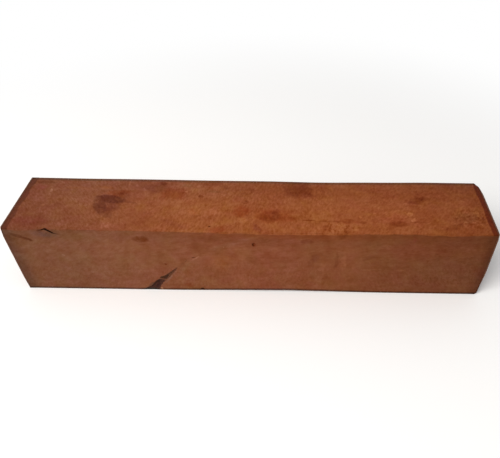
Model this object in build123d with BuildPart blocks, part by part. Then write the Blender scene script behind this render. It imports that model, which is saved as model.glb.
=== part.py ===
from build123d import *
from math import radians, tan
import os

os.makedirs("parts", exist_ok=True)

# Wood turning blank: one piece of red-brown hardwood, sawn square and dipped in wax.
# It lies along X on its flat underside at Z = 0, with its middle over the origin.
# The front face looks along -Y, and the left end is at -X. Sizes are in millimetres.

# The sawn blank
length = 305
width = 53.5
height = 53.5
top_hollow = 0.8  # dip of the top face at mid length, from drying
edge_round = 0.5  # every edge is softened by the wax

# Broken corners: how far each break reaches along X, Y and Z
back_break = (2.6, 6.5, 4.0)  # top corner at the back of the right end
front_break = (2.8, 2.4, 3.2)  # bottom corner at the front of the right end

# Bark pocket in the front face, from the bottom arris up to the right
pocket_from_left = 84.0  # middle of its mouth, from the left end
pocket_rise = 21.0
pocket_lean = 43.0  # degrees from upright
pocket_bow = 1.7  # bend of its middle to the left of a straight line
pocket_mouth_width = 10.0
pocket_tip_width = 0.6
pocket_taper = 0.8  # power of the narrowing from mouth to tip
pocket_mouth_depth = 0.6
pocket_belly_depth = 1.5
pocket_waist_depth = 1.2
pocket_shoulder_depth = 1.0
pocket_tip_depth = 0.2
bridge_level = 10.2  # underside of the sliver of sound wood across the pocket
bridge_thickness = 0.9
cutter_reach = 2.0  # how far a cut starts outside the face that it opens in

# Hairline shake that runs on from the pocket's tip
shake_run = 10.9
shake_climb = 12.2
shake_width = 0.4
shake_depth = 1.0
shake_overlap = 0.6  # length by which it opens into the pocket

# Open check under the front top arris, in two legs that meet at its peak
check_from_left = 27.9  # its peak, from the left end
check_drop = 1.2  # from the top arris down to the peak
check_short_leg = (4.3, 0.7)  # run to the left, and fall
check_long_leg = (8.0, 3.6)  # run to the right, and fall
check_width = 0.8
check_depth = 2.0
check_overlap = 0.4  # how far each leg runs past the peak

# Pin knots and small holes: place, then half width, half height and depth
pin_knot_from_left = 154.8
pin_knot_level = 42.9
pin_knot_size = (1.0, 1.5, 1.8)
front_hole_from_left = 97.1
front_hole_level = 24.7
front_hole_size = (1.0, 0.7, 0.8)
arris_chip_from_left = 119.0
arris_chip_level = 0.9
arris_chip_size = (1.6, 1.0, 1.0)
top_hole_from_left = 127.6
top_hole_from_front = 5.3
top_hole_size = (0.8, 0.6, 1.8)
hole_narrowing = 0.5  # share of its mouth that is left at a small hole's floor

left = -length / 2
right = length / 2
front = -width / 2
back = width / 2
front_plane = Plane.XZ.offset(-front)
top_plane = Plane.XY.offset(height)  # over the hollow, level with the ends


def pocket_middle(level):
    # Where the pocket's middle lies along X at a level: a leaning line with a slight bow
    share = level / pocket_rise
    bow = 4 * pocket_bow * share * (1 - share) if level > 0 else 0
    return left + pocket_from_left + level * tan(radians(pocket_lean)) - bow


def pocket_section(level, depth):
    # Level section of the pocket: a shallow arc, closed off outside the front face
    middle = pocket_middle(level)
    narrowing = (1 - max(level, 0) / pocket_rise) ** pocket_taper
    half = (pocket_tip_width + (pocket_mouth_width - pocket_tip_width) * narrowing) / 2
    with BuildSketch(Plane.XY.offset(level)) as section:
        with BuildLine():
            Polyline(
                (middle - half, front),
                (middle - half, front - cutter_reach),
                (middle + half, front - cutter_reach),
                (middle + half, front),
            )
            ThreePointArc((middle + half, front), (middle, front + depth), (middle - half, front))
        make_face()
    return section.sketch


def crack_outline(start, end, gap):
    # Needle-shaped crack on the front face, widest at its middle and pointed at both ends
    run = Vector(*end) - Vector(*start)
    middle = Vector(*start) + run * 0.5
    side = Vector(-run.Y, run.X).normalized() * (gap / 2)
    with BuildSketch(front_plane) as outline:
        with BuildLine():
            ThreePointArc(start, middle + side, end)
            ThreePointArc(end, middle - side, start)
        make_face()
    return outline.sketch


def hole_section(plane, centre, half_wide, half_high):
    # Level section of a small oval hole
    with BuildSketch(plane) as section:
        with Locations(centre):
            Ellipse(half_wide, half_high)
    return section.sketch


def break_corner(corner, reach):
    # Slices off a corner along the plane through one point on each of its three edges
    x, y, z = corner
    toward_x, toward_y, toward_z = reach
    outward = (1 / toward_x, 1 / toward_y, 1 / toward_z)
    split(bisect_by=Plane(origin=(x - toward_x, y, z), z_dir=outward), keep=Keep.BOTTOM)


with BuildPart() as turning_blank:
    # Side profile with the slightly hollow top, run across the width
    with BuildSketch(Plane.XZ):
        with BuildLine():
            Polyline((left, height), (left, 0), (right, 0), (right, height))
            ThreePointArc((left, height), (0, height - top_hollow), (right, height))
        make_face()
    extrude(amount=width / 2, both=True)
    end_edges = turning_blank.faces().filter_by(Axis.X).edges()
    long_edges = turning_blank.edges().filter_by(lambda edge: edge not in end_edges)
    fillet(end_edges + long_edges, radius=edge_round)

    # The corners that are knocked off the right end
    back_x, back_y, back_z = back_break
    break_corner((right, back, height), (back_x, back_y, back_z))
    front_x, front_y, front_z = front_break
    break_corner((right, front, 0), (front_x, -front_y, -front_z))

    # Bark pocket: a wide lower hollow and a narrow upper one, with the bridge between them
    lower_sections = [
        pocket_section(-cutter_reach, pocket_mouth_depth),
        pocket_section(0, pocket_mouth_depth),
        pocket_section(bridge_level / 2, pocket_belly_depth),
        pocket_section(bridge_level, pocket_waist_depth),
    ]
    loft(lower_sections, mode=Mode.SUBTRACT)
    upper_start = bridge_level + bridge_thickness
    upper_sections = [
        pocket_section(upper_start, pocket_waist_depth),
        pocket_section((upper_start + pocket_rise) / 2, pocket_shoulder_depth),
        pocket_section(pocket_rise, pocket_tip_depth),
    ]
    loft(upper_sections, mode=Mode.SUBTRACT)

    # The shake starts just inside the pocket's tip and follows its lean
    tip_x = pocket_middle(pocket_rise)
    shake_start = (tip_x - shake_overlap, pocket_rise - shake_overlap)
    shake_end = (tip_x + shake_run, pocket_rise + shake_climb)
    shake = crack_outline(shake_start, shake_end, shake_width)
    extrude(shake, amount=-shake_depth, mode=Mode.SUBTRACT)

    # Open check: each leg runs a little past the peak, so that the two join
    peak_x = left + check_from_left
    peak_z = height - check_drop
    short_run, short_fall = check_short_leg
    short_end = (peak_x - short_run, peak_z - short_fall)
    short_leg = crack_outline(short_end, (peak_x + check_overlap, peak_z), check_width)
    extrude(short_leg, amount=-check_depth, mode=Mode.SUBTRACT)
    long_run, long_fall = check_long_leg
    long_end = (peak_x + long_run, peak_z - long_fall)
    long_leg = crack_outline((peak_x - check_overlap, peak_z), long_end, check_width)
    extrude(long_leg, amount=-check_depth, mode=Mode.SUBTRACT)

    # Pin knots and small holes, each narrowing from its mouth to its floor
    for plane, centre, size in (
        (front_plane, (left + pin_knot_from_left, pin_knot_level), pin_knot_size),
        (front_plane, (left + front_hole_from_left, front_hole_level), front_hole_size),
        (front_plane, (left + arris_chip_from_left, arris_chip_level), arris_chip_size),
        (top_plane, (left + top_hole_from_left, front + top_hole_from_front), top_hole_size),
    ):
        half_wide, half_high, depth = size
        mouth = hole_section(plane, centre, half_wide, half_high)
        floor_wide = half_wide * hole_narrowing
        floor_high = half_high * hole_narrowing
        floor = hole_section(plane.offset(-depth), centre, floor_wide, floor_high)
        loft([mouth, floor], mode=Mode.SUBTRACT)

turning_blank.part.label = "turning_blank"
export_step(turning_blank.part, "parts/turning_blank.step")
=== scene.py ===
from math import pi, radians, sin

import bmesh
import bpy
from mathutils import Matrix, Vector, noise


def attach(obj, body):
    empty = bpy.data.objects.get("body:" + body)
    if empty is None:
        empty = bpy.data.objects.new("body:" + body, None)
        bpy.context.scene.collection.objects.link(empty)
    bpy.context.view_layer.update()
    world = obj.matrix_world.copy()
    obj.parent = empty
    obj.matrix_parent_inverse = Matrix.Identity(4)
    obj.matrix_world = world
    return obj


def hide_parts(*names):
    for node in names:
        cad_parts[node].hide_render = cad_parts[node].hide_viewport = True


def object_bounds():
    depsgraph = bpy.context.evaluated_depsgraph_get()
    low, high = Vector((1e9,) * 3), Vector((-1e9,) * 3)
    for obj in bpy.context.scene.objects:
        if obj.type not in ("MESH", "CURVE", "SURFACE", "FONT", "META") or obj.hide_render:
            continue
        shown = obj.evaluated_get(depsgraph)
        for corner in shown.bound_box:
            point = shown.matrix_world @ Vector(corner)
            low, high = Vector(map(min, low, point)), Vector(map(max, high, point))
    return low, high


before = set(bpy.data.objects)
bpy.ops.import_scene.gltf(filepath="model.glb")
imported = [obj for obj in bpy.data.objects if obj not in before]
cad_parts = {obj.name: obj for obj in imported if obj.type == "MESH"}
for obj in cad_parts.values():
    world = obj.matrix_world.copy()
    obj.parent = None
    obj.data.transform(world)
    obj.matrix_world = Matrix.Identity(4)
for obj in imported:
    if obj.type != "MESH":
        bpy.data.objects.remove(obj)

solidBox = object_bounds()
scene = bpy.context.scene
millimetre = 0.001
print("frame loaded")


# Small helpers for building node trees

def addNode(tree, kind, inputs=None, **settings):
    node = tree.nodes.new(kind)
    for key, value in settings.items():
        setattr(node, key, value)
    for socket, value in (inputs or {}).items():
        if isinstance(value, bpy.types.NodeSocket):
            tree.links.new(value, node.inputs[socket])
        else:
            node.inputs[socket].default_value = value
    return node


def calc(tree, operation, *values):
    return addNode(tree, "ShaderNodeMath", dict(enumerate(values)), operation=operation).outputs[0]


def vectorCalc(tree, operation, *values):
    node = addNode(tree, "ShaderNodeVectorMath", dict(enumerate(values)), operation=operation)
    return node.outputs[1 if operation in ("LENGTH", "DOT_PRODUCT") else 0]


def scaled(tree, vector, factor):
    return addNode(tree, "ShaderNodeVectorMath", {0: vector, "Scale": factor}, operation="SCALE").outputs[0]


# 0 below the first limit, 1 above the second, with a soft step between them
def ease(tree, value, low, high, least=0.0, most=1.0):
    limits = {"Value": value, "From Min": low, "From Max": high, "To Min": least, "To Max": most}
    return addNode(tree, "ShaderNodeMapRange", limits, interpolation_type="SMOOTHSTEP").outputs[0]


# Sum of soft swellings along a line: each has its place, how far it reaches and its size
def swellings(tree, value, rows):
    total = 0.0
    for place, reach, size in rows:
        away = calc(tree, "ABSOLUTE", calc(tree, "SUBTRACT", value, place))
        total = calc(tree, "ADD", total, ease(tree, away, 0.0, reach, size, 0.0))
    return total


# Noise between 0 and 1, with lumps of about the given size
def cloud(tree, point, size, detail=2.0, rough=0.5, twist=0.0):
    settings = {"Vector": point, "Scale": 1 / size, "Detail": detail, "Roughness": rough, "Distortion": twist}
    return addNode(tree, "ShaderNodeTexNoise", settings).outputs["Fac"]


# The same noise, swinging about 0
def swing(tree, point, size, detail=2.0, rough=0.5, twist=0.0):
    return calc(tree, "SUBTRACT", cloud(tree, point, size, detail, rough, twist), 0.5)


def cloudVector(tree, point, size, reach):
    settings = {"Vector": point, "Scale": 1 / size, "Detail": 2.0}
    colour = addNode(tree, "ShaderNodeTexNoise", settings).outputs["Color"]
    return scaled(tree, vectorCalc(tree, "SUBTRACT", colour, (0.5, 0.5, 0.5)), 2 * reach)


def product(tree, *values):
    total = values[0]
    for value in values[1:]:
        total = calc(tree, "MULTIPLY", total, value)
    return total


def splitXYZ(tree, point):
    return addNode(tree, "ShaderNodeSeparateXYZ", {0: point}).outputs


def joinXYZ(tree, x, y, z):
    return addNode(tree, "ShaderNodeCombineXYZ", {0: x, 1: y, 2: z}).outputs[0]


# Camera at the photograph's viewing angle

viewpoint = {
    "place": (0.02735, -0.26016, 0.25925),
    "turn": 0.438,  # degrees, to the left of straight across the blank
    "lookDown": 44.014,
    "roll": 0.507,
    "lens": 36.879,
    "shift": (-0.08194, 0.05389),
}

cameraData = bpy.data.cameras.new("camera")
cameraData.lens = viewpoint["lens"]
cameraData.sensor_width = 36
cameraData.shift_x, cameraData.shift_y = viewpoint["shift"]
cameraData.clip_start = 0.01
camera = bpy.data.objects.new("camera", cameraData)
scene.collection.objects.link(camera)
camera.matrix_world = (
    Matrix.Translation(viewpoint["place"])
    @ Matrix.Rotation(radians(viewpoint["turn"]), 4, "Z")
    @ Matrix.Rotation(radians(90 - viewpoint["lookDown"]), 4, "X")
    @ Matrix.Rotation(radians(viewpoint["roll"]), 4, "Z")
)
scene.camera = camera
scene.view_settings.view_transform = "Standard"
print("camera placed")


# Floor, softbox and sky

studio = {
    "floorHalf": 4.0,
    "floorColour": (0.93, 0.93, 0.93, 1),
    "shadowReach": (0.20, 0.45),  # from here on the floor turns into the white background
    "skyStrength": 0.55,
    "boxPlace": (-0.75, -0.75, 1.15),
    "boxSize": 0.9,
    "boxPower": 21.0,
    "boxColour": (1.0, 0.97, 0.93),
}


# 1 for rays that show a surface to the camera, also off a glossy surface or through a clear one
def seenShare(tree):
    rays = addNode(tree, "ShaderNodeLightPath").outputs
    seen = calc(tree, "MAXIMUM", rays["Is Camera Ray"], rays["Is Glossy Ray"])
    return calc(tree, "MAXIMUM", seen, rays["Is Transmission Ray"])


def makeFloor():
    mesh = bpy.data.meshes.new("floor")
    half = studio["floorHalf"]
    corners = [(-half, -half, 0), (half, -half, 0), (half, half, 0), (-half, half, 0)]
    mesh.from_pydata(corners, [], [(0, 1, 2, 3)])
    floor = bpy.data.objects.new("floor", mesh)
    scene.collection.objects.link(floor)
    paint = bpy.data.materials.new("paleFloor")
    paint.use_nodes = True
    tree = paint.node_tree
    tree.nodes.clear()
    place = addNode(tree, "ShaderNodeTexCoord").outputs["Object"]
    away = vectorCalc(tree, "LENGTH", place)
    near, far = studio["shadowReach"]
    share = product(tree, ease(tree, away, near, far), seenShare(tree))
    matt = addNode(tree, "ShaderNodeBsdfDiffuse", {"Color": studio["floorColour"]}).outputs[0]
    white = addNode(tree, "ShaderNodeEmission", {"Color": (1, 1, 1, 1), "Strength": 1.0}).outputs[0]
    both = addNode(tree, "ShaderNodeMixShader", {0: share, 1: matt, 2: white}).outputs[0]
    addNode(tree, "ShaderNodeOutputMaterial", {"Surface": both})
    mesh.materials.append(paint)


def makeLights():
    light = bpy.data.lights.new("softbox", "AREA")
    light.shape = "SQUARE"
    light.size = studio["boxSize"]
    light.energy = studio["boxPower"]
    light.color = studio["boxColour"]
    softbox = bpy.data.objects.new("softbox", light)
    softbox.location = studio["boxPlace"]
    softbox.rotation_euler = (-Vector(studio["boxPlace"])).to_track_quat("-Z", "Y").to_euler()
    scene.collection.objects.link(softbox)
    sky = bpy.data.worlds.new("sky")
    sky.use_nodes = True
    tree = sky.node_tree
    tree.nodes.clear()
    glow = addNode(tree, "ShaderNodeBackground", {"Strength": studio["skyStrength"]}).outputs[0]
    white = addNode(tree, "ShaderNodeBackground", {"Strength": 1.0}).outputs[0]
    for node in tree.nodes:
        if node.type == "BACKGROUND":
            node.inputs["Color"].default_value = (1, 1, 1, 1)
    both = addNode(tree, "ShaderNodeMixShader", {0: seenShare(tree), 1: glow, 2: white}).outputs[0]
    addNode(tree, "ShaderNodeOutputWorld", {"Surface": both})
    scene.world = sky


makeFloor()
makeLights()
print("floor and lights made")


# The blank: sizes in millimetres, X along the grain, front face at -Y. A swelling is a place along X,
# how far it reaches to both sides and its height.

blank = {
    "length": round((solidBox[1].x - solidBox[0].x) / millimetre, 1),
    "width": round((solidBox[1].y - solidBox[0].y) / millimetre, 1),
    "height": (solidBox[1].z - solidBox[0].z) / millimetre,
    "edgeRound": 0.32,
    "topHollow": 0.8,
    "frontWear": [(20, 80, 1.15), (26, 16, 0.2)],  # swellings that wear up the bottom arris in front
    "wearFrom": (-0.7, -1.0),  # share of the half width and half height over which the wear sets in
    "backWander": [(0, 130, 0.20), (-75, 50, 0.20), (45, 38, -0.42), (125, 45, 0.38)],  # top back arris
    "wanderFrom": (-0.2, 1.0),
    "endBulge": 0.06,  # the ends fall back this much towards their corners
    "bulgePower": 8.0,
    "waxThickness": 0.05,
    "waxReach": 4.6,  # width of the wax lap on the long faces
    "waxWander": 1.8,
    "waxWanderSize": 11.0,
    "waxEdge": 0.5,
    "waveHeight": 0.12,
    "waveSize": 34.0,
    "breakRough": 0.5,  # unevenness of the broken corners
    "breakGrain": 1.6,
    "rows": (361, 49, 49),
    "rowGather": (0.86, 0.93, 0.93),  # the rows crowd towards the edges by this much
    "sharpAngle": 38,  # degrees between faces from which an edge is drawn sharp
    "seed": 4.0,
}

# Corners that are knocked off or rubbed down: reach along X, Y and Z, and which corner
brokenCorners = [
    ((3.6, 6.4, 4.4), (1, 1, 1)),
    ((1.6, 14.0, 9.0), (1, 1, 1)),
    ((2.8, 2.5, 3.2), (1, -1, -1)),
    ((1.5, 4.0, 24.0), (1, -1, -1)),
    ((0.6, 1.5, 6.0), (1, -1, 1)),
    ((0.9, 2.0, 9.0), (-1, -1, 1)),
    ((0.7, 2.5, 15.0), (-1, -1, -1)),
]

# Named inputs of the blank's shape
shapeInputs = {
    "Length": blank["length"],
    "Width": blank["width"],
    "Height": blank["height"],
    "Edge Round": blank["edgeRound"],
    "Top Hollow": blank["topHollow"],
    "Wax Thickness": blank["waxThickness"],
    "Wave Height": blank["waveHeight"],
    "Seed": blank["seed"],
}


# 1 where the end wax laps over the long faces, 0 beyond its wandering edge
def waxLap(tree, point):
    x = splitXYZ(tree, point)[0]
    fromEnd = calc(tree, "SUBTRACT", blank["length"] / 2, calc(tree, "ABSOLUTE", x))
    drift = swing(tree, point, blank["waxWanderSize"], 1.0)
    edge = calc(tree, "MULTIPLY_ADD", drift, 2 * blank["waxWander"], blank["waxReach"])
    beyond = calc(tree, "SUBTRACT", fromEnd, edge)
    return ease(tree, beyond, -blank["waxEdge"], blank["waxEdge"], 1.0, 0.0)


def blankShapeTree(woodMaterial):
    tree = bpy.data.node_groups.new("blankShape", "GeometryNodeTree")
    tree.interface.new_socket("Geometry", in_out="INPUT", socket_type="NodeSocketGeometry")
    for name in shapeInputs:
        tree.interface.new_socket(name, in_out="INPUT", socket_type="NodeSocketFloat")
    tree.interface.new_socket("Geometry", in_out="OUTPUT", socket_type="NodeSocketGeometry")
    given = addNode(tree, "NodeGroupInput").outputs

    rowsX, rowsY, rowsZ = blank["rows"]
    counts = {"Size": (2, 2, 2), "Vertices X": rowsX, "Vertices Y": rowsY, "Vertices Z": rowsZ}
    grid = addNode(tree, "GeometryNodeMeshCube", counts).outputs["Mesh"]
    place = addNode(tree, "GeometryNodeInputPosition").outputs[0]

    # Rows of the grid gathered towards the edges, then stretched to the blank's half sizes
    bend = tuple(share * pi / 2 for share in blank["rowGather"])
    curved = vectorCalc(tree, "SINE", vectorCalc(tree, "MULTIPLY", place, bend))
    even = vectorCalc(tree, "DIVIDE", curved, tuple(sin(angle) for angle in bend))
    sizes = joinXYZ(tree, given["Length"], given["Width"], given["Height"])
    wax = given["Wax Thickness"]
    half = vectorCalc(tree, "SUBTRACT", scaled(tree, sizes, 0.5), joinXYZ(tree, wax, wax, wax))
    flat = vectorCalc(tree, "MULTIPLY", even, half)

    # Rounded edges: each point is pushed out from the nearest point of a smaller inner box
    rounding = joinXYZ(tree, given["Edge Round"], given["Edge Round"], given["Edge Round"])
    inner = vectorCalc(tree, "SUBTRACT", half, rounding)
    core = vectorCalc(tree, "MINIMUM", flat, inner)
    core = vectorCalc(tree, "MAXIMUM", core, scaled(tree, inner, -1.0))
    outward = vectorCalc(tree, "NORMALIZE", vectorCalc(tree, "SUBTRACT", flat, core))
    point = vectorCalc(tree, "ADD", core, scaled(tree, outward, given["Edge Round"]))

    # Low waves left by the saw and by drying, and the thickness of the wax lap
    shifted = vectorCalc(tree, "ADD", point, joinXYZ(tree, given["Seed"], 0.0, given["Seed"]))
    waves = swing(tree, shifted, blank["waveSize"])
    lifted = vectorCalc(tree, "ADD", point, (0, 0, blank["height"] / 2))
    lap = product(tree, waxLap(tree, lifted), wax)
    swell = calc(tree, "MULTIPLY_ADD", waves, given["Wave Height"], lap)
    swell = calc(tree, "MINIMUM", swell, wax)
    point = vectorCalc(tree, "ADD", point, scaled(tree, outward, swell))

    # Hollow top, worn front arris, straying back arris and bulging ends
    x, y, z = splitXYZ(tree, point)
    alongShare = calc(tree, "DIVIDE", x, product(tree, given["Length"], 0.5))
    acrossShare = calc(tree, "DIVIDE", y, product(tree, given["Width"], 0.5))
    upShare = calc(tree, "DIVIDE", z, product(tree, given["Height"], 0.5))
    middle = calc(tree, "SUBTRACT", 1.0, calc(tree, "POWER", alongShare, 2.0))
    top = calc(tree, "MULTIPLY_ADD", upShare, 0.5, 0.5)
    drop = product(tree, middle, top, given["Top Hollow"])
    frontShare = ease(tree, acrossShare, *blank["wearFrom"])
    underShare = ease(tree, upShare, *blank["wearFrom"])
    wear = product(tree, frontShare, underShare, swellings(tree, x, blank["frontWear"]))
    backShare = ease(tree, acrossShare, *blank["wanderFrom"])
    stray = product(tree, backShare, top, swellings(tree, x, blank["backWander"]))
    sag = calc(tree, "MINIMUM", calc(tree, "SUBTRACT", stray, drop), 0.0)
    rise = calc(tree, "ADD", wear, sag)
    acrossPower = calc(tree, "POWER", acrossShare, blank["bulgePower"])
    upPower = calc(tree, "POWER", upShare, blank["bulgePower"])
    corner = calc(tree, "ADD", acrossPower, upPower)
    tuck = product(tree, corner, -blank["endBulge"] / 2, alongShare)
    point = vectorCalc(tree, "ADD", point, joinXYZ(tree, tuck, 0.0, rise))

    # Broken corners: whatever stands past the slanting plane is laid down on it, a little unevenly
    halfSizes = (blank["length"] / 2, blank["width"] / 2, blank["height"] / 2)
    for reaches, sides in brokenCorners:
        tip = Vector(side * size for side, size in zip(sides, halfSizes))
        slope = Vector(side / reach for side, reach in zip(sides, reaches))
        level = (slope.dot(tip) - 1) / slope.length
        slope.normalize()
        rough = product(tree, swing(tree, point, blank["breakGrain"], 3.0), blank["breakRough"])
        height = calc(tree, "SUBTRACT", vectorCalc(tree, "DOT_PRODUCT", point, tuple(slope)), level)
        excess = calc(tree, "MAXIMUM", calc(tree, "ADD", height, rough), 0.0)
        point = vectorCalc(tree, "SUBTRACT", point, scaled(tree, joinXYZ(tree, *slope), excess))

    lift = joinXYZ(tree, 0.0, 0.0, product(tree, given["Height"], 0.5))
    point = scaled(tree, vectorCalc(tree, "ADD", point, lift), millimetre)
    shaped = addNode(tree, "GeometryNodeSetPosition", {"Geometry": grid, "Position": point}).outputs[0]
    smooth = addNode(tree, "GeometryNodeSetShadeSmooth", {"Geometry": shaped}).outputs[0]
    real = addNode(tree, "GeometryNodeRealizeInstances", {"Geometry": smooth}).outputs[0]
    done = addNode(tree, "GeometryNodeSetMaterial", {"Geometry": real, "Material": woodMaterial}).outputs[0]
    addNode(tree, "NodeGroupOutput", {"Geometry": done})
    return tree


# Finishes

# Broad colour of the top and of the sides from the left end to the right: place, then colour. Part of it is
# painted shade: the sides are kept darker than the top, and the colour falls towards the right end where the
# light falls off.
woodColoursAndShade = {
    "top": [(-150, (0.178, 0.056, 0.0244)), (-112, (0.217, 0.0735, 0.0323)), (-75, (0.242, 0.0735, 0.0267)),
            (-40, (0.277, 0.087, 0.0291)), (0, (0.268, 0.0775, 0.024)), (50, (0.275, 0.0795, 0.0237)),
            (95, (0.259, 0.072, 0.022)), (130, (0.225, 0.062, 0.0176)), (148, (0.210, 0.057, 0.016))],
    "side": [(-150, (0.157, 0.059, 0.028)), (-112, (0.173, 0.069, 0.033)), (-88, (0.197, 0.074, 0.036)),
             (-45, (0.195, 0.068, 0.029)), (-10, (0.208, 0.067, 0.029)), (25, (0.206, 0.066, 0.029)),
             (60, (0.190, 0.062, 0.023)), (95, (0.166, 0.053, 0.021)), (148, (0.133, 0.043, 0.017))],
    "endGrain": (0.135, 0.052, 0.026),
    "endGrainLate": (0.085, 0.034, 0.018),
}

# How each kind of mark changes the wood's colour, how soft its edge is and how far it wanders. Some kinds
# paint light or shade, as noted beside them.
markKinds = {
    "dark": {"tint": (0.60, 0.385, 0.22), "soft": 0.45, "warp": "broad"},
    "rust": {"tint": (0.61, 0.40, 0.21), "soft": 0.50, "warp": "fine"},
    "red": {"tint": (0.85, 0.60, 0.42), "soft": 0.55, "warp": "broad"},
    "purple": {"tint": (0.80, 0.70, 0.82), "soft": 0.70, "warp": "broad"},
    "orange": {"tint": (1.16, 1.14, 0.88), "soft": 0.80, "warp": "broad"},
    "grey": {"tint": (0.76, 0.86, 1.13), "soft": 0.80, "warp": "broad"},
    # grey-dark at the pocket: partly its bark, partly painted shade of the pocket's left wall
    "pocketEdgeBarkAndShade": {"tint": (0.58, 0.69, 0.82), "soft": 0.50, "warp": "none"},
    "light": {"tint": (1.20, 1.32, 1.46), "soft": 0.80, "warp": "broad"},
    # painted sheen: lighter, bluer streaks
    "sheen": {"tint": (1.04, 1.20, 1.36), "soft": 0.70, "warp": "fine"},
    # pale flecks of wax and torn grain, partly painted glints on them
    "paleFleckGlint": {"tint": (1.40, 1.72, 2.15), "soft": 0.50, "warp": "fine"},
    # painted highlight: a pale line where the pocket's curled lip catches the light
    "lipHighlight": {"tint": (0.98, 1.30, 1.70), "soft": 0.50, "warp": "none"},
    "chalk": {"tint": (2.60, 3.80, 4.60), "soft": 0.50, "warp": "none"},
    "speck": {"tint": (0.62, 0.40, 0.12), "soft": 0.45, "warp": "fine"},
    "pit": {"tint": (0.45, 0.25, 0.10), "soft": 0.45, "warp": "none"},
    "pink": {"tint": (1.04, 0.86, 1.10), "soft": 0.70, "warp": "broad"},
    "olive": {"tint": (0.86, 0.92, 0.86), "soft": 0.60, "warp": "broad"},
    "stain": {"tint": (0.50, 0.37, 0.38), "soft": 0.35, "warp": "fine"},
    "shade": {"tint": (0.86, 0.77, 0.68), "soft": 0.60, "warp": "fine"},
}

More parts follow.
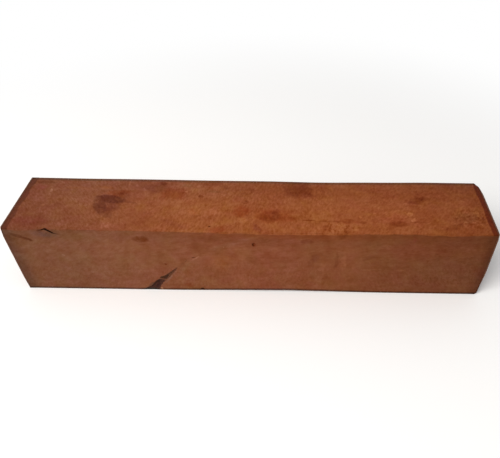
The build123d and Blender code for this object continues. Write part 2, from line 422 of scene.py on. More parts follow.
# Marks of each kind: place along X, place on the face, half length, half width, turn in degrees where
# there is one, and strength. The place on the face is Y on the top and Z on the front. A mark that is
# turned up rises to the right.
topMarks = {
    "stain": [
        (-92.8, 4.3, 12.5, 5, -12, 1), (-97.8, -2.5, 11.5, 5, -68, 0.68), (-91.2, -2.6, 8.5, 7, -20, 0.27),
        (-80.5, 2, 7.5, 1.4, -15, 0.3), (-92.8, -9.4, 8, 4.4, -42, 0.42), (-85.5, 7.5, 6, 5, -20, 0.2),
        (-66, 15.8, 8.5, 4.2, 0.1), (15.8, -8.6, 3.6, 6.6, 0.28),
    ],
    "purple": [
        (-92, -3, 9.5, 8, -20, 0.8), (-134, -18, 17, 8.5, 0.45), (-124, 12.2, 9, 1.8, 0.35),
        (-66.9, 17.7, 14.7, 7.4, 0.85), (-48, -19.2, 13, 3, -27, 0.4), (-19, 18.8, 3.2, 3.4, 0.6),
        (26.9, 15.5, 12.6, 10.5, 0.55), (4.6, -22.6, 6, 2.2, -62, 0.9), (146.6, -10.5, 1.8, 3.6, 1),
    ],
    "red": [
        (-88, 10.2, 8.5, 4.8, 0.9), (-136.5, -20.5, 17, 6.5, 0.3), (-52.9, 11.2, 12.5, 8.6, 10, 0.85),
        (-6.5, -5.8, 7, 8, 1), (-19.5, -23.8, 7, 3.8, 0.72), (14, -9.7, 17, 9.8, 0.85),
        (24, -12.7, 6.6, 5.5, 0.7), (135.7, -21.9, 14.3, 5.5, 10, 0.35), (61.5, -14.6, 6.5, 3, 0.6),
    ],
    "shade": [
        (-87, 9.5, 7.5, 6, 0.7), (-141, 21.4, 10, 2, 0.9), (-133, -3, 16, 5, 0.6),
        (-47, -19.8, 14.5, 2.8, -27, 0.35), (-32, 22.3, 12.5, 2.6, 1), (-35, -11.2, 5.2, 1.7, 1),
        (133, 22.2, 15, 3.2, 0.4),
    ],
    "orange": [
        (-95, 10.6, 4, 2.2, 0.6), (-99.5, 16.8, 9, 3.6, 1), (-117, 15.8, 16, 2.4, 0.5),
        (-37, -6.5, 7, 4.5, 0.5),
    ],
    "olive": [
        (-140, 21.2, 12, 3, 0.6), (-108, 4, 8, 9, 0.15), (-26, 14.2, 5.5, 2.4, 1),
        (-45, 20.6, 4.5, 2.2, 0.8), (135, -10.5, 10.5, 6.5, 15, 1),
    ],
    "pink": [(-141.7, 15.7, 7.7, 4.4, 1), (-138, -18, 14, 8, 0.7), (90, -11, 11, 8, 0.45)],
    "dark": [
        (-61.4, 21.7, 2.8, 2.6, 0.9), (-65.9, 12.6, 4.7, 2.4, 0.25), (12.5, -11, 10, 6.2, 0.42),
        (28.5, 18.5, 12, 12, 0.62), (35, 17.5, 5, 11, 0.75), (107.2, 6.9, 7.7, 4, 25, 0.78),
        (108.1, 13.4, 1.7, 4.7, -15, 0.4),
    ],
    "light": [
        (-41.5, -15.8, 9, 1.8, -38, 0.5), (-40, 3.5, 14, 4, 0.35), (132, 4.5, 13, 5, 0.8),
        (132, 11, 14, 5, 0.4), (-27, 18.6, 4.5, 1.8, 1), (-57, -22.5, 13, 1.7, -22, 0.6),
        (91, -10, 7, 4, 0.3), (54.9, -19.8, 3, 3.5, 0.6), (-89.3, -19.6, 8, 4.4, -55, 1),
        (-23.9, -6.6, 9, 4.5, 1), (45, -22.8, 14, 4, 0.5),
    ],
    "speck": [
        (-4.5, 3.5, 3, 2.3, 0.6), (112.6, 8.4, 4.2, 2.1, 10, 0.3), (92.3, -16.7, 7.6, 3.4, 0.7),
        (52, -14.9, 15, 1.1, 0.5), (105.5, -15.2, 7, 1.1, 0.5), (60.9, -14.4, 6.9, 2.3, 5, 0.3),
        (57.9, -25.4, 5.2, 2.5, 20, 0.5), (36, -14, 4.6, 1.1, 0.9), (69.9, -15.8, 3.4, 1.5, 0.5),
        (77.3, -14.8, 1.8, 1.6, 0.15), (85.8, -20.9, 3.4, 2.3, 30, 0.1), (30, -19.8, 2.3, 2.3, 0.4),
        (47.9, -21.3, 3.9, 3.4, 0.5), (-34.4, 9, 2.3, 1.8, -20, 0.75), (-19.5, 19.6, 2.5, 3, 0.25),
        (-1, 15.6, 1.8, 3, 0.4), (143.6, -12.8, 2.3, 6.9, 30, 0.45), (126, -19.6, 8, 3.2, 22, 0.6),
    ],
    "pit": [(-24.9, -21.2, 1.3, 1.1, 0.25)],
    # flecks of wax and torn grain, partly painted glints
    "paleFleckGlint": [
        (-134.2, 12.7, 1.3, 2.6, 20, 1), (-129.7, 21.3, 1.8, 2.6, 25, 0.5), (-134.2, -2.8, 1.4, 1.6, 0.9),
        (-84.3, 21.7, 1.1, 3, 1), (-78.8, 19.2, 1, 2.4, 10, 0.5), (-72.1, 13.1, 0.9, 5.6, 18, 0.4),
        (-62.5, -9, 0.7, 7.5, 36, 0.35), (-89.3, -19, 6, 2.4, -55, 0.15), (-87.7, -23, 1.1, 2.4, 40, 0.5),
        (-100.2, -21.7, 0.9, 2.6, 20, 0.4), (-44.4, 13.6, 1.3, 1.3, 0.8), (-4.9, -15, 3.5, 3.3, 15, 0.75),
        (65.4, -22.3, 2.2, 3.3, 0.15), (68.8, -10.2, 1.1, 1.8, 0.9), (78.3, -7.2, 1.2, 1.7, 0.7),
        (98.7, -6.5, 1.2, 2.2, 30, 0.6), (100.6, -7.2, 3, 2.4, 30, 1), (102, -13.1, 2.8, 1.7, 50, 0.85),
        (134.2, -14.9, 2.4, 1.3, 20, 0.5),
    ],
}

frontMarks = {
    "rust": [
        (-138.7, 45.5, 5.4, 1.5, -27, 0.88), (-143.4, 47.7, 6.2, 1.7, -24, 0.75),
        (-128.4, 52.3, 2.4, 0.9, 10, 0.8),
    ],
    "red": [
        (-147.5, 46.5, 5, 4, 0.4), (10.8, 33.5, 3.4, 6.5, 0.3), (29.8, 10.5, 9, 4, 0.35),
        (-43, 5, 5, 3.2, 0.8),
    ],
    "grey": [(-124.8, 49.8, 12, 4.2, -3, 1)],
    "shade": [
        (-117.4, 49.2, 4.6, 1.2, -18, 0.9), (-32, 39.2, 9, 6, -8, 0.8), (1, 30.3, 6, 4.8, 1),
        (12, 44.8, 17, 4.8, 0.9), (-58.4, 16.8, 2, 0.7, 43, 0.1),
    ],
    "speck": [(-67.6, 46.2, 6.2, 3.2, 0.92), (-36.6, 31.1, 1.6, 0.6, 10, 0.5)],
    "dark": [
        (-26, 47.1, 14, 3, 0.2), (35.5, 46.5, 5, 2.6, 0.5), (37.9, 28.2, 3, 4, 0.3), (54.4, 30.2, 2, 9, 0.4),
        (74.9, 32.7, 6, 2.2, 0.3),
    ],
    # painted sheen on the front
    "sheen": [
        (-43.2, 22.4, 9, 2.2, 50, 1), (-48.2, 24.6, 9, 1.6, 48, 0.1), (-12, 43.1, 22, 2.8, 22, 0.8),
        (-59.8, 15.6, 1.4, 1, 50, 1),
    ],
    "olive": [(-43.6, 25.2, 6, 1.5, 48, 0.2)],
    "orange": [(-20, 27.3, 12, 10, 40, 0.6)],
    "purple": [(40.9, 32.2, 3.6, 4.8, 0.7)],
    "light": [
        (59.4, 29.2, 2.2, 11, 1), (65.9, 36.1, 5, 10, 0.15), (46.4, 24.3, 2.8, 8, 0.7), (86, 46, 6, 5, 0.8),
        (133, 9.5, 15, 8.5, 0.8), (-133, 5.5, 15, 3.5, 0.4), (95.7, 22.3, 5, 1, 0.9), (-5.1, 8.6, 5, 4, 0.3),
    ],
    "pink": [(101.5, 48.9, 1.6, 4, 15, 0.8)],
    # flecks of wax and torn grain, partly painted glints
    "paleFleckGlint": [
        (77.8, 22.3, 9, 1, 4, 0.4), (-34.4, 31.1, 2.4, 0.9, 42, 0.75), (-36.4, 29.7, 2.4, 0.8, 30, 0.6),
        (-16.7, 40.5, 0.6, 0.7, 0.8), (-119.6, 31.6, 1.2, 0.6, -30, 0.6),
    ],
    "pit": [(-55.4, 24.7, 1.2, 0.9, 0.9), (2.3, 42.9, 1.5, 2, 0.8)],
    # partly the pocket's bark, partly painted shade of its left wall
    "pocketEdgeBarkAndShade": [(-59.4, 10.8, 3.2, 1.2, -11, 1), (-68, 5.2, 4.4, 1.3, 48, 1)],
    # painted highlight along the pocket's right lip
    "lipHighlight": [
        (-60.2, 5.2, 5.6, 1, 59, 0.45), (-55.6, 10.6, 6.5, 1, 52, 0.9), (-51, 16.4, 5.5, 0.8, 51, 0.55),
        (-57, 15.4, 4.2, 1.2, 43, 0.15),
    ],
    "chalk": [(-61.6, 1.3, 1, 1.6, 1)],
}


# How marks melt into the wood, in millimetres
marking = {
    "reachIn": 7,  # how far a mark's oval reaches into the wood
    "belowHeight": 0.5,  # the top is hollow, so its marks lie a little under the full height
    "fineWarp": (2.4, 0.8),  # size of the bends in a mark's outline, and how far they go
    "broadWarp": (6.5, 3.2),
    "gapSize": 2.6,  # a mark is thinner in places of about this size
    "gapLimits": (0.30, 0.55, 0.55, 1.0),
}


# Soft-edged oval on the top or the front: 1 within it, 0 outside
def blot(tree, point, onTop, along, level, halfLong, halfWide, turn=0, soft=0.6, strength=1.0):
    if onTop:
        place = (along, level, blank["height"] - marking["belowHeight"])
        turned = (0, 0, radians(turn))
        reach = (halfLong, halfWide, marking["reachIn"])
    else:
        place = (along, -blank["width"] / 2, level)
        turned = (0, -radians(turn), 0)
        reach = (halfLong, marking["reachIn"], halfWide)
    settings = {"Vector": point, "Location": place, "Rotation": turned, "Scale": reach}
    local = addNode(tree, "ShaderNodeMapping", settings, vector_type="TEXTURE").outputs[0]
    ball = addNode(tree, "ShaderNodeTexGradient", {"Vector": local}, gradient_type="SPHERICAL").outputs["Fac"]
    return ease(tree, ball, 0.0, soft, 0.0, strength)


# Colours along a line, each stop with its place and its colour
def ramp(tree, value, stops):
    low, high = stops[0][0], stops[-1][0]
    limits = {"Value": value, "From Min": low, "From Max": high}
    share = addNode(tree, "ShaderNodeMapRange", limits).outputs[0]
    node = addNode(tree, "ShaderNodeValToRGB", {"Fac": share})
    elements = node.color_ramp.elements
    while len(elements) < len(stops):
        elements.new(0.5)
    for element, (position, colour) in zip(elements, stops):
        element.position = (position - low) / (high - low)
        element.color = (*colour, 1)
    return node.outputs[0]


def mixed(tree, factor, first, second, blend="MIX"):
    first = (*first, 1) if isinstance(first, tuple) else first
    second = (*second, 1) if isinstance(second, tuple) else second
    sockets = {0: factor, 6: first, 7: second}
    return addNode(tree, "ShaderNodeMix", sockets, data_type="RGBA", blend_type=blend).outputs[2]


# The colour multiplied by a tint, as far as the share goes
def tinted(tree, share, colour, tint):
    return mixed(tree, share, colour, tint, "MULTIPLY")


# Share of a zone from 0 to 1: the product of its rows. A row is a measure's name and the limits
# between which the zone fades in; a name alone stands for the measure itself.
def zoneShare(tree, measures, rows):
    parts = [ease(tree, measures[name], *limits) if limits else measures[name] for name, *limits in rows]
    return product(tree, *parts)


def tintZones(tree, measures, colour, zones):
    for rows, tint in zones:
        colour = tinted(tree, zoneShare(tree, measures, rows), colour, tint)
    return colour


def startMaterial(name):
    material = bpy.data.materials.new(name)
    material.use_nodes = True
    tree = material.node_tree
    tree.nodes.clear()
    place = addNode(tree, "ShaderNodeTexCoord").outputs["Object"]
    return material, tree, scaled(tree, place, 1 / millimetre)


def closeMaterial(tree, colour, roughness, height, bumpDepth, specular):
    relief = {"Height": height, "Strength": 1.0, "Distance": bumpDepth}
    bump = addNode(tree, "ShaderNodeBump", relief).outputs[0]
    sockets = {"Base Color": colour, "Roughness": roughness, "Normal": bump, "Specular IOR Level": specular}
    shader = addNode(tree, "ShaderNodeBsdfPrincipled", sockets).outputs[0]
    addNode(tree, "ShaderNodeOutputMaterial", {"Surface": shader})


# Where the top's colour ends, a little way down over its near arris: painted light, the top's lit colour
# carried down over the rounded arris
topBorder = {
    "swellings": [(20, 75, 0.95), (128, 42, 0.8), (58, 12, 0.4), (-141, 14, 1.2)],
    "wander": 1.6,
    "wanderSize": 7.0,
    "soft": (0.55, -0.15),
    "inset": (26.55, 26.35),  # the top's own colour holds as far as this from the middle
    "depth": (2.5, 1.5),
}

# Broad tints, each with the zone that it fills
frontWarmth = [[("belowTop", 9.0, 4.0), ("x", 20.0, 45.0)], [("belowTop", 24.0, 14.0), ("x", 80.0, 110.0)]]
broadZones = [
    # painted shade: the top darkens towards the back, where the light falls off, less so at the left end
    ([("y", -6.0, 26.0), ("x", -145.0, -70.0, 0.2, 1.0), ("onTop",)], (0.84, 0.85, 1.05)),
    ([("y", 2.0, -24.0), ("x", -45.0, -75.0), ("onTop",)], (0.93, 0.90, 0.90)),
    ([("y", 3.0, 14.0), ("y", 24.0, 18.0), ("x", -10.0, 15.0), ("onTop",)], (0.97, 0.91, 0.76)),
    ([("frontWarmth",), ("offTop",)], (1.01, 0.93, 0.85)),
    # painted shade: the upper part of the front darkens by up to a tenth towards its top arris
    ([("belowTop", 14.0, 3.0, 0.0, 0.10), ("offTop",)], (0, 0, 0)),
    ([("mottle", 0.35, 0.70, 0.0, 0.75)], (0.87, 0.77, 0.62)),
]

# Warm dark line under the near top arris; painted shade on the rounded front top arris, and painted shade as
# dark lines along the back top arris and just above the bottom arris
underLine = [(20, 80, 0.9), (110, 60, 0.5), (-60, 60, 0.25)]
arrisZones = [
    ([("pastBorder", 6.0, 1.6), ("pastBorder", 0.0, 0.6), ("underLine",)], (0.95, 0.80, 0.55)),
    # painted shade: the rounded front top arris darkens by up to a fifth
    ([("nearRim", 26.0, 26.5, 0.0, 0.22)], (0, 0, 0)),
    # painted shade: a dark line along the back top arris
    ([("y", 23.3, 24.6), ("belowTop", 3.0, 1.0)], (0.62, 0.74, 0.86)),
    # painted shade: a dark line just above the bottom arris, broken up by noise
    ([("aboveArris", 2.3, 1.3), ("footShadeBreakup", 0.2, 0.6, 0.7, 1.0)], (0.42, 0.45, 0.50)),
]

# Streaks of fibre. The leans are degrees at the left, in the middle and at the right, and a stretch
# is how finely the streaks are packed along X, Y and Z.
fibre = {
    "noise": {"Scale": 0.72, "Detail": 4.0, "Roughness": 0.72},
    "leftTurn": (-45.0, -95.0),  # between these places the middle's lean gives way to the left's
    "rightTurn": (40.0, 85.0),
    "top": ("Z_AXIS", (-33, 8, 32), (1.0, 0.44, 0.6)),
    "side": ("Y_AXIS", (-40, -15, 27), (1.0, 0.5, 0.6)),
    "upperSide": ("Y_AXIS", (30, 8, 3), (0.34, 0.5, 1.0)),
    "upperFrom": (16.0, 38.0, 0.0, 0.8),
    "contrast": 0.73,
    "topExtra": 0.42,
    "livelySpots": [(139, -12, 15, 15), (56, -21, 17, 7)],  # rougher grain on the top
    "livelyExtra": 0.8,
    "streaks": 0.90,
    "tones": 0.11,
    "patches": (5.5, 0.26),  # size and strength
    "crumbs": (2.2, 0.12),
    "livelyCrumbs": 0.6,
    "lighten": (1.0, 1.85, 3.2),  # a lighter streak gains this much in red, green and blue
}

# Growth rings about a pith that lies below and in front, tilted along the length
rings = {
    "pith": (-62.0, -34.0),
    "tilt": 0.09,
    "spacing": 4.6,
    "share": 0.34,
    "tint": (0.84, 0.74, 0.60),
    "bend": (45.0, 5.0),
    "patchSize": 22.0,
}

# Drifts between a pinker and a yellower brown: shift and size of the pattern, share on the sides,
# how much more on the top, and the limits and tint of both swings
hueDrifts = [
    ((310, 70, 15), 10.0, 0.45, 0.35,
     [((0.40, 0.72), (0.98, 0.90, 1.04)), ((0.46, 0.25), (1.01, 1.06, 0.86))]),
    ((55, 20, 190), 13.0, 0.65, -0.5,
     [((0.45, 0.72), (1.02, 0.91, 1.02)), ((0.50, 0.28), (0.97, 1.05, 0.97))]),
]

# Pores: short dark dashes along the grain
pore = {
    "stretch": (0.16, 1.0, 1.0),
    "density": 1.35,
    "limits": (0.24, 0.10),
    "share": 0.35,
    "tint": (0.55, 0.48, 0.46),
}

# Wax at the ends: its tint at the left and at the right, how much of it shows on the sides, the thin
# smear that runs further along them, and the dark rim of the end itself
waxFinish = {
    "tints": ((0.60, 0.49, 0.42), (0.50, 0.27, 0.10)),
    "sideShare": 0.12,
    "smearFrom": 143.5,
    "leftSmear": 3.0,  # the left smear starts this much nearer the middle
    "smearTints": ((0.74, 0.82, 0.88), (0.76, 0.72, 0.66)),
    "rimFrom": (150.3, 151.5),
    "rimTint": (0.52, 0.58, 0.66),
}

endGrain = {
    "from": (151.0, 151.7),
    "ringSpacing": 2.3,
    "ringWander": 5.0,
    "mottle": (0.72, 0.74, 0.80),
    "crumbs": (0.70, 0.66, 0.66),
    "sawLines": 3.2,
    "sawShare": 0.3,
}


# Where a point lies: distances in millimetres and shares from 0 to 1, by name
def takeMeasures(tree, point):
    x, y, z = splitXYZ(tree, point)
    alongShare = calc(tree, "DIVIDE", x, blank["length"] / 2)
    middle = calc(tree, "SUBTRACT", 1.0, calc(tree, "POWER", alongShare, 2.0))
    topLevel = calc(tree, "MULTIPLY_ADD", middle, -blank["topHollow"], blank["height"])
    belowTop = calc(tree, "SUBTRACT", topLevel, z)
    border = swellings(tree, x, topBorder["swellings"])
    wander = swing(tree, point, topBorder["wanderSize"])
    border = calc(tree, "MULTIPLY_ADD", wander, topBorder["wander"], border)
    pastBorder = calc(tree, "SUBTRACT", belowTop, border)
    inTop = ease(tree, calc(tree, "ABSOLUTE", y), *topBorder["inset"])
    flatTop = product(tree, inTop, ease(tree, belowTop, *topBorder["depth"]))
    onTop = calc(tree, "MAXIMUM", ease(tree, pastBorder, *topBorder["soft"]), flatTop)
    measures = {
        "x": x, "y": y, "z": z, "belowTop": belowTop, "pastBorder": pastBorder, "onTop": onTop,
        "offTop": calc(tree, "SUBTRACT", 1.0, onTop),
        "endways": calc(tree, "ABSOLUTE", x),
        "leftward": ease(tree, x, -20.0, 20.0, 1.0, 0.0),
        "nearRim": calc(tree, "SUBTRACT", calc(tree, "SUBTRACT", z, y), topLevel),
        "aboveArris": calc(tree, "SUBTRACT", z, swellings(tree, x, blank["frontWear"])),
        "underLine": swellings(tree, x, underLine),
        "mottle": cloud(tree, point, 13.0, 3.0, 0.55, 0.6),
        # noise that breaks up the painted shade above the bottom arris
        "footShadeBreakup": cloud(tree, point, 9.0),
        "waxLap": waxLap(tree, point),
    }
    warmParts = [zoneShare(tree, measures, rows) for rows in frontWarmth]
    measures["frontWarmth"] = calc(tree, "MAXIMUM", *warmParts)
    return measures


# Fibre figure in colour: the left, middle and right of the blank each have their own lean
def leaningFigure(tree, point, axis, leans, stretch, shares):
    looks = []
    for lean in leans:
        turning = {"Vector": point, "Angle": radians(lean)}
        turned = addNode(tree, "ShaderNodeVectorRotate", turning, rotation_type=axis)
        spot = vectorCalc(tree, "MULTIPLY", turned.outputs[0], stretch)
        noiseLook = addNode(tree, "ShaderNodeTexNoise", {"Vector": spot, **fibre["noise"]})
        looks.append(noiseLook.outputs["Color"])
    figure = mixed(tree, shares[0], looks[1], looks[0])
    return mixed(tree, shares[1], figure, looks[2])


# Colour with streaks, soft patches and crumbs, and the lightness of the streaks alone
def addFigure(tree, point, measures, colour):
    onTop = measures["onTop"]
    ends = (ease(tree, measures["x"], *fibre["leftTurn"]), ease(tree, measures["x"], *fibre["rightTurn"]))
    topStreak = leaningFigure(tree, point, *fibre["top"], ends)
    sideStreak = leaningFigure(tree, point, *fibre["side"], ends)
    upperStreak = leaningFigure(tree, point, *fibre["upperSide"], ends)
    sideStreak = mixed(tree, ease(tree, measures["z"], *fibre["upperFrom"]), sideStreak, upperStreak)
    streak = mixed(tree, onTop, sideStreak, topStreak)
    streakLight = addNode(tree, "ShaderNodeSeparateColor", {0: streak}).outputs[0]

    lively = calc(tree, "MAXIMUM", *[blot(tree, point, True, *spot) for spot in fibre["livelySpots"]])
    depth = calc(tree, "MULTIPLY_ADD", onTop, fibre["topExtra"], fibre["contrast"])
    depth = calc(tree, "MULTIPLY_ADD", lively, fibre["livelyExtra"], depth)
    lightSwing = calc(tree, "SUBTRACT", streakLight, 0.5)
    bright = product(tree, lightSwing, product(tree, depth, fibre["streaks"]))
    patchSize, patchShare = fibre["patches"]
    patches = swing(tree, point, patchSize, 2.0, 0.5, 0.4)
    bright = calc(tree, "MULTIPLY_ADD", patches, patchShare, bright)
    crumbSize, crumbShare = fibre["crumbs"]
    crumbDepth = calc(tree, "MULTIPLY_ADD", lively, fibre["livelyCrumbs"], crumbShare)
    bright = calc(tree, "MULTIPLY_ADD", swing(tree, point, crumbSize), crumbDepth, bright)

    toneSwing = vectorCalc(tree, "SUBTRACT", streak, (0.5, 0.5, 0.5))
    tone = scaled(tree, toneSwing, product(tree, depth, fibre["tones"]))
    change = vectorCalc(tree, "ADD", tone, scaled(tree, joinXYZ(tree, *fibre["lighten"]), bright))
    change = vectorCalc(tree, "ADD", change, (1, 1, 1))
    return tinted(tree, 1.0, colour, change), streakLight


# Growth rings in the colour, and a point's distance from the pith
def addRings(tree, point, bent, colour):
    bentX, bentY, bentZ = splitXYZ(tree, bent)
    pithY, pithZ = rings["pith"]
    ringY = calc(tree, "SUBTRACT", bentY, pithY)
    ringZ = calc(tree, "SUBTRACT", calc(tree, "MULTIPLY_ADD", bentX, -rings["tilt"], bentZ), pithZ)
    fromPith = vectorCalc(tree, "LENGTH", joinXYZ(tree, 0.0, ringY, ringZ))
    wave = calc(tree, "SINE", product(tree, fromPith, 2 * pi / rings["spacing"]))
    lateWood = product(tree, ease(tree, wave, -0.2, 1.0), cloud(tree, point, rings["patchSize"]))
    return tinted(tree, product(tree, lateWood, rings["share"]), colour, rings["tint"]), fromPith


def addHueDrifts(tree, point, measures, colour):
    for shift, size, sideShare, topExtra, swings in hueDrifts:
        pattern = cloud(tree, vectorCalc(tree, "ADD", point, shift), size, 1.5, 0.5, 0.4)
        share = calc(tree, "MULTIPLY_ADD", measures["onTop"], topExtra, sideShare)
        for limits, tint in swings:
            colour = tinted(tree, product(tree, ease(tree, pattern, *limits), share), colour, tint)
    return colour


# Marks, placed one by one from the lists
def addMarks(tree, point, colour):
    warps = {
        "none": point,
        "fine": vectorCalc(tree, "ADD", point, cloudVector(tree, point, *marking["fineWarp"])),
        "broad": vectorCalc(tree, "ADD", point, cloudVector(tree, point, *marking["broadWarp"])),
    }
    masks = {}
    kinds = [(kind, True, rows) for kind, rows in topMarks.items()]
    kinds += [(kind, False, rows) for kind, rows in frontMarks.items()]
    for kind, onTop, rows in kinds:
        look = markKinds[kind]
        for *place, strength in rows:
            warped = warps[look["warp"]]
            mask = blot(tree, warped, onTop, *place, soft=look["soft"], strength=strength)
            masks[kind] = calc(tree, "MAXIMUM", masks[kind], mask) if kind in masks else mask
    gaps = ease(tree, cloud(tree, point, marking["gapSize"], 3.0, 0.6), *marking["gapLimits"])
    for kind, mask in masks.items():
        colour = tinted(tree, product(tree, mask, gaps), colour, markKinds[kind]["tint"])
    return colour


# Wax at the ends, and its smear along the sides
def addWax(tree, measures, colour):
    lap, leftward, endways = measures["waxLap"], measures["leftward"], measures["endways"]
    leftTint, rightTint = waxFinish["tints"]
    shown = ease(tree, measures["onTop"], 0.0, 1.0, waxFinish["sideShare"], 1.0)
    waxTint = mixed(tree, leftward, rightTint, leftTint)
    colour = tinted(tree, product(tree, lap, shown), colour, waxTint)
    smearStart = calc(tree, "MULTIPLY_ADD", leftward, -waxFinish["leftSmear"], waxFinish["smearFrom"])
    smear = ease(tree, endways, smearStart, waxFinish["rimFrom"][0])
    leftTint, rightTint = waxFinish["smearTints"]
    smear = product(tree, smear, measures["offTop"])
    colour = tinted(tree, smear, colour, mixed(tree, leftward, rightTint, leftTint))
    return tinted(tree, ease(tree, endways, *waxFinish["rimFrom"]), colour, waxFinish["rimTint"])


# Colour of the sawn ends: uneven rings, blotches and crumbs
def endGrainColour(tree, point, bent, fromPith):
    uneven = calc(tree, "MULTIPLY_ADD", cloud(tree, point, 9.0, 3.0), endGrain["ringWander"], fromPith)
    wave = calc(tree, "SINE", product(tree, uneven, 2 * pi / endGrain["ringSpacing"]))
    patches = ease(tree, cloud(tree, bent, 7.0), 0.3, 0.7, 0.1, 0.6)
    lateWood = product(tree, ease(tree, wave, -0.4, 1.0), patches)
    colour = mixed(tree, lateWood, woodColoursAndShade["endGrain"], woodColoursAndShade["endGrainLate"])
    blotches = ease(tree, cloud(tree, point, 12.0, 4.0, 0.6), 0.35, 0.65, 0.0, 0.6)
    colour = tinted(tree, blotches, colour, endGrain["mottle"])
    crumbs = ease(tree, cloud(tree, point, 1.1, 3.0, 0.6), 0.45, 0.7, 0.0, 0.5)
    return tinted(tree, crumbs, colour, endGrain["crumbs"])


def makeWood():
    material, tree, point = startMaterial("waxedHardwood")
    measures = takeMeasures(tree, point)
    # Top and side colours, which carry painted shade: darker sides than top, and a fall towards the right end
    sideColourAndShade = ramp(tree, measures["x"], woodColoursAndShade["side"])
    topColourAndShade = ramp(tree, measures["x"], woodColoursAndShade["top"])
    colour = mixed(tree, measures["onTop"], sideColourAndShade, topColourAndShade)
    colour = tintZones(tree, measures, colour, broadZones)
    colour, streakLight = addFigure(tree, point, measures, colour)
    bent = vectorCalc(tree, "ADD", point, cloudVector(tree, point, *rings["bend"]))
    colour, fromPith = addRings(tree, point, bent, colour)
    colour = addHueDrifts(tree, point, measures, colour)
    colour = addMarks(tree, point, colour)

    dashes = {"Vector": vectorCalc(tree, "MULTIPLY", bent, pore["stretch"]), "Scale": pore["density"]}
    cells = addNode(tree, "ShaderNodeTexVoronoi", dashes).outputs["Distance"]
    pores = ease(tree, cells, *pore["limits"])
    colour = tinted(tree, product(tree, pores, pore["share"]), colour, pore["tint"])
    colour = tintZones(tree, measures, colour, arrisZones)
    colour = addWax(tree, measures, colour)
    onEnd = ease(tree, measures["endways"], *endGrain["from"])
    colour = mixed(tree, onEnd, colour, endGrainColour(tree, point, bent, fromPith))

    # Relief: fibre, pores, saw lines on the ends and the uneven skin of the wax
    height = calc(tree, "MULTIPLY_ADD", streakLight, 0.6, product(tree, pores, -0.5))
    sawPhase = product(tree, measures["mottle"], 3.0)
    sawLines = calc(tree, "SINE", calc(tree, "MULTIPLY_ADD", measures["y"], endGrain["sawLines"], sawPhase))
    sawShare = product(tree, onEnd, endGrain["sawShare"])
    height = calc(tree, "ADD", height, product(tree, sawLines, sawShare))
    waxSkin = product(tree, measures["waxLap"], cloud(tree, point, 3.0))
    height = calc(tree, "MULTIPLY_ADD", waxSkin, 0.8, height)
    roughness = ease(tree, cloud(tree, point, 7.0, 3.0), 0.3, 0.7, 0.46, 0.60)
    roughness = calc(tree, "SUBTRACT", roughness, product(tree, measures["waxLap"], 0.12))
    closeMaterial(tree, colour, roughness, height, 0.00007, 0.04)
    return material


# Bark and dark wood on the walls of the pocket, the cracks and the small holes. A streak is a lighter
# or darker place on the wall: X, Z, half length, half width, turn in degrees and colour.
hollowFinishes = {
    "lowerBark": {
        "dark": (0.046, 0.017, 0.011), "light": (0.084, 0.031, 0.019), "turn": -48,
        "streaks": [
            (-68.0, 5.6, 4.2, 1.3, 47, (0.140, 0.058, 0.032)),
            (-69.0, 0.2, 8.0, 1.9, 0, (0.020, 0.017, 0.013)),
            (-64.2, 3.4, 3.0, 1.4, 50, (0.042, 0.015, 0.012)),
        ],
    },
    "upperBark": {
        "dark": (0.088, 0.032, 0.014), "light": (0.130, 0.048, 0.023), "turn": -48,
        "streaks": [
            (-58.9, 13.4, 2.4, 1.1, 25, (0.120, 0.062, 0.034)),
            (-57.0, 12.2, 3.4, 1.2, 50, (0.060, 0.024, 0.013)),
            (-50.4, 19.4, 3.2, 1.4, 48, (0.105, 0.036, 0.019)),
        ],
    },
    "crack": {"dark": (0.034, 0.010, 0.004), "light": (0.070, 0.022, 0.009), "turn": 0, "streaks": []},
    "knot": {"dark": (0.150, 0.026, 0.005), "light": (0.200, 0.050, 0.014), "turn": 0, "streaks": []},
}


def makeHollowFinish(name):
    finish = hollowFinishes[name]
    material, tree, point = startMaterial(name)
    settings = {"Vector": point, "Angle": radians(finish["turn"])}
    turned = addNode(tree, "ShaderNodeVectorRotate", settings, rotation_type="Y_AXIS")
    drawnOut = vectorCalc(tree, "MULTIPLY", turned.outputs[0], (0.22, 1.0, 1.0))
    fibres = cloud(tree, drawnOut, 0.9, 4.0, 0.65)
    crumbs = cloud(tree, point, 0.7, 4.0, 0.7)
    colour = mixed(tree, ease(tree, fibres, 0.36, 0.66), finish["dark"], finish["light"])
    bent = vectorCalc(tree, "ADD", point, cloudVector(tree, point, 2.0, 0.7))
    for *streak, tint in finish["streaks"]:
        colour = mixed(tree, blot(tree, bent, False, *streak), colour, tint)
    colour = tinted(tree, ease(tree, crumbs, 0.42, 0.62, 0.0, 0.6), colour, (0.62, 0.58, 0.58))
    height = calc(tree, "ADD", fibres, crumbs)
    roughness = ease(tree, crumbs, 0.3, 0.7, 0.6, 0.8)
    closeMaterial(tree, colour, roughness, height, 0.0004, 0.05)
    return material


waxedHardwood = makeWood()
hollowPaints = {name: makeHollowFinish(name) for name in hollowFinishes}
print("finishes mixed")


# Hollows cut into the blank. A trench follows a path on a face: each station gives its place, half its
# width and its depth. The place is X and Z on the front, or X, Y and Z where the path leaves the front.
# "inward" is the way into the wood.

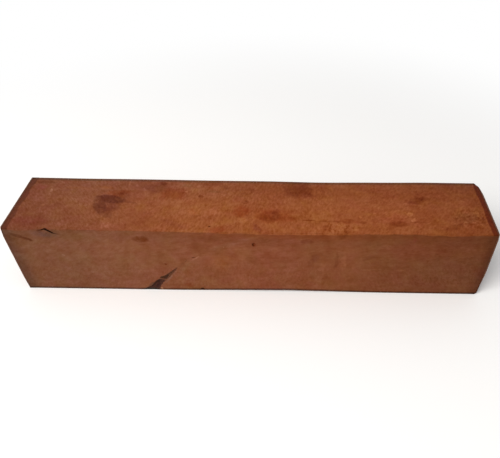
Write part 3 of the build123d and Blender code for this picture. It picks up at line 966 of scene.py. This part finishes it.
hollows = {
    "lowerPocket": {
        "stations": [
            (-71.5, -3.5, 6.5, 0.3), (-69.2, -0.5, 5.9, 0.32), (-67.6, 1.2, 4.7, 0.5),
            (-65.9, 3.05, 3.4, 1.0), (-64.3, 5.1, 2.8, 1.4), (-62.9, 7.1, 2.65, 1.5),
            (-61.5, 8.75, 2.6, 1.3), (-59.9, 10.2, 2.3, 0.8),
        ],
        "across": (0.98, 0, -0.2), "inward": (0, 1, 0), "finish": "lowerBark", "ragged": 0.10,
    },
    "upperPocket": {
        "stations": [
            (-58.9, 11.3, 2.5, 0.7), (-57.9, 12.45, 2.8, 1.1), (-55.8, 13.85, 1.9, 0.9),
            (-54.2, 15.45, 1.55, 0.75), (-52.8, 16.9, 1.3, 0.6), (-51.3, 18.45, 1.05, 0.45),
            (-49.9, 20.0, 0.75, 0.3), (-48.9, 21.1, 0.35, 0.15), (-48.2, 21.9, 0.1, 0.1),
        ],
        "across": (0.98, 0, -0.2), "inward": (0, 1, 0), "finish": "upperBark", "ragged": 0.10,
    },
    "shake": {
        "stations": [
            (-46.9, 22.3, 0.04, 0.1), (-45.3, 24.0, 0.08, 0.25), (-43.2, 26.3, 0.04, 0.12),
            (-42.0, 27.6, 0.07, 0.2), (-40.6, 29.4, 0.03, 0.1),
        ],
        "inward": (0, 1, 0), "finish": "crack", "ragged": 0.1,
    },
    "arrisCheck": {
        "stations": [
            (-129.0, -26.8, 52.3, 0.05, 0.2), (-127.8, -26.7, 52.5, 0.14, 0.5),
            (-126.6, -26.5, 52.9, 0.28, 1.2), (-125.1, -26.2, 53.1, 0.55, 1.6),
            (-123.4, -26.4, 52.4, 0.6, 1.6), (-121.8, -26.7, 51.3, 0.6, 1.6), (-120.4, 50.3, 0.36, 1.2),
            (-119.2, 50.0, 0.12, 0.6), (-117.6, 49.4, 0.04, 0.2),
        ],
        "inward": (0, 0.8, -0.6), "finish": "crack", "ragged": 0.12,
    },
    "flakeCrack": {
        "stations": [(-37.9, 31.0, 0.06, 0.2), (-36.8, 31.2, 0.2, 0.45), (-35.6, 31.3, 0.06, 0.2)],
        "inward": (0, 1, 0), "finish": "crack", "ragged": 0.05,
    },
}

# How a trench is built, in millimetres where it is a length
trench = {
    "step": 0.35,
    "columns": 13,
    "wallPower": 2.4,  # the higher, the steeper the walls and the flatter the floor
    "raggedScales": (0.9, 2.7),
    "fineShare": 0.6,
    "floorRough": 1.4,
    "floorScale": 3.1,
    "floorShift": (7, 3, 5),
    "leastDepth": 0.02,
    "lid": (1, 0.33, -0.33, -1),  # corners of the cutter outside the face, as shares of its half width
    "lidWidth": 1.15,
    "lidHeight": 2.5,
}

# Small pits: place, half sizes along X, Y and Z
pits = [
    {"place": (2.3, -26.75, 42.9), "halfSizes": (0.9, 0.9, 1.4), "finish": "knot"},
    {"place": (-55.4, -26.75, 24.7), "halfSizes": (0.8, 0.4, 0.55), "finish": "knot"},
    {"place": (-34.0, -26.75, 1.9), "halfSizes": (1.3, 1.1, 0.7), "finish": "crack"},
    {"place": (-24.9, -21.3, 52.7), "halfSizes": (0.6, 0.5, 0.9), "finish": "knot"},
]
pitWall = {"subdivisions": 3, "uneven": 0.22, "scale": 2.1}


# A station with its full place: the front face is filled in where only X and Z are given
def placed(station):
    if len(station) == 5:
        return station
    x, z, halfWide, depth = station
    return x, -blank["width"] / 2, z, halfWide, depth


# Points spread evenly along a smooth curve that passes through the stations
def smoothStations(stations):
    rows = [placed(station) for station in stations]
    result = []
    for index in range(len(rows) - 1):
        before = rows[max(index - 1, 0)]
        start, end = rows[index], rows[index + 1]
        after = rows[min(index + 2, len(rows) - 1)]
        gap = (Vector(end[:3]) - Vector(start[:3])).length
        pieces = max(2, round(gap / trench["step"]))
        for piece in range(pieces):
            t = piece / pieces
            weights = (
                0.5 * (-t + 2 * t * t - t ** 3),
                0.5 * (2 - 5 * t * t + 3 * t ** 3),
                0.5 * (t + 4 * t * t - 3 * t ** 3),
                0.5 * (-t * t + t ** 3),
            )
            around = list(zip(weights, (before, start, end, after)))
            result.append([sum(weight * row[k] for weight, row in around) for k in range(5)])
    result.append(list(rows[-1]))
    return result


def addTrench(mesh, spec, materialIndex):
    inward = Vector(spec["inward"]).normalized()
    line = smoothStations(spec["stations"])
    broadScale, fineScale = trench["raggedScales"]
    rows = []
    for index, (x, y, z, halfWide, depth) in enumerate(line):
        here = Vector((x, y, z))
        ahead = Vector(line[min(index + 1, len(line) - 1)][:3])
        behind = Vector(line[max(index - 1, 0)][:3])
        across = Vector(spec["across"]) if "across" in spec else (ahead - behind).cross(inward).normalized()
        row = []
        for column in range(trench["columns"]):
            share = 2 * column / (trench["columns"] - 1) - 1
            spot = here + across * (share * halfWide)
            ragged = noise.noise(spot * broadScale) + trench["fineShare"] * noise.noise(spot * fineScale)
            widen = 1 + spec["ragged"] * ragged
            fall = (1 - abs(share) ** trench["wallPower"]) * depth
            bumps = noise.noise(spot * trench["floorScale"] + Vector(trench["floorShift"]))
            rough = trench["floorRough"] * spec["ragged"] * depth * bumps
            least = trench["leastDepth"] * (1 - abs(share))
            fall = max(fall + rough * (1 - share * share), least)
            row.append(here + across * (share * halfWide * widen) + inward * fall)
        for share in trench["lid"]:
            aside = across * (share * halfWide * trench["lidWidth"])
            row.append(here + aside - inward * trench["lidHeight"])
        rows.append([mesh.verts.new(spot * millimetre) for spot in row])
    count = len(rows[0])
    for first, second in zip(rows, rows[1:]):
        for index in range(count):
            after = (index + 1) % count
            face = mesh.faces.new((first[index], first[after], second[after], second[index]))
            face.material_index = materialIndex
    for row in (rows[0], rows[-1]):
        mesh.faces.new(row).material_index = materialIndex


def addPit(mesh, spec, materialIndex):
    ball = bmesh.ops.create_icosphere(mesh, subdivisions=pitWall["subdivisions"], radius=1.0)["verts"]
    sizes = Vector(spec["halfSizes"])
    centre = Vector(spec["place"])
    for vertex in ball:
        uneven = 1 + pitWall["uneven"] * noise.noise(vertex.co * pitWall["scale"] + centre)
        spot = Vector(share * size * uneven for share, size in zip(vertex.co, sizes))
        vertex.co = (centre + spot) * millimetre
    for face in {face for vertex in ball for face in vertex.link_faces}:
        face.material_index = materialIndex


def meshObject(name, mesh, materials):
    data = bpy.data.meshes.new(name)
    bmesh.ops.recalc_face_normals(mesh, faces=mesh.faces)
    mesh.to_mesh(data)
    mesh.free()
    for material in materials:
        data.materials.append(material)
    thing = bpy.data.objects.new(name, data)
    scene.collection.objects.link(thing)
    return thing


# The modified shape of an object as a plain mesh of its own
def settle(thing):
    bpy.context.view_layer.update()
    evaluated = thing.evaluated_get(bpy.context.evaluated_depsgraph_get())
    data = bpy.data.meshes.new_from_object(evaluated)
    thing.modifiers.clear()
    thing.data = data
    data.name = thing.name
    return thing


# The two pockets nearly touch, so the upper one is cut after the rest
def makeCutters():
    groups = {"first": ["lowerPocket", "arrisCheck", "flakeCrack", "shake"], "second": ["upperPocket"]}
    slots = list(hollowPaints)
    cutters = []
    for group, names in groups.items():
        mesh = bmesh.new()
        for name in names:
            addTrench(mesh, hollows[name], slots.index(hollows[name]["finish"]))
        if group == "first":
            for pit in pits:
                addPit(mesh, pit, slots.index(pit["finish"]))
        cutters.append(meshObject(group + "Cutters", mesh, hollowPaints.values()))
    return cutters


def makeBlank():
    data = bpy.data.meshes.new("turningBlank")
    piece = bpy.data.objects.new("turningBlank", data)
    scene.collection.objects.link(piece)
    shape = piece.modifiers.new("shape", "NODES")
    shape.node_group = blankShapeTree(waxedHardwood)
    for socket in shape.node_group.interface.items_tree:
        if socket.name in shapeInputs:
            shape[socket.identifier] = shapeInputs[socket.name]
    settle(piece)
    print("blank shaped:", len(piece.data.polygons), "faces")
    cutters = makeCutters()
    for cutter in cutters:
        cut = piece.modifiers.new("cut", "BOOLEAN")
        cut.operation = "DIFFERENCE"
        cut.solver = "EXACT"
        cut.material_mode = "TRANSFER"
        cut.object = cutter
    settle(piece)
    for cutter in cutters:
        bpy.data.objects.remove(cutter)
    piece.data.set_sharp_from_angle(angle=radians(blank["sharpAngle"]))
    print("hollows cut:", len(piece.data.polygons), "faces")
    return piece


turningBlank = makeBlank()
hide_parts("turning_blank")
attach(turningBlank, "root")
print("blank finished")
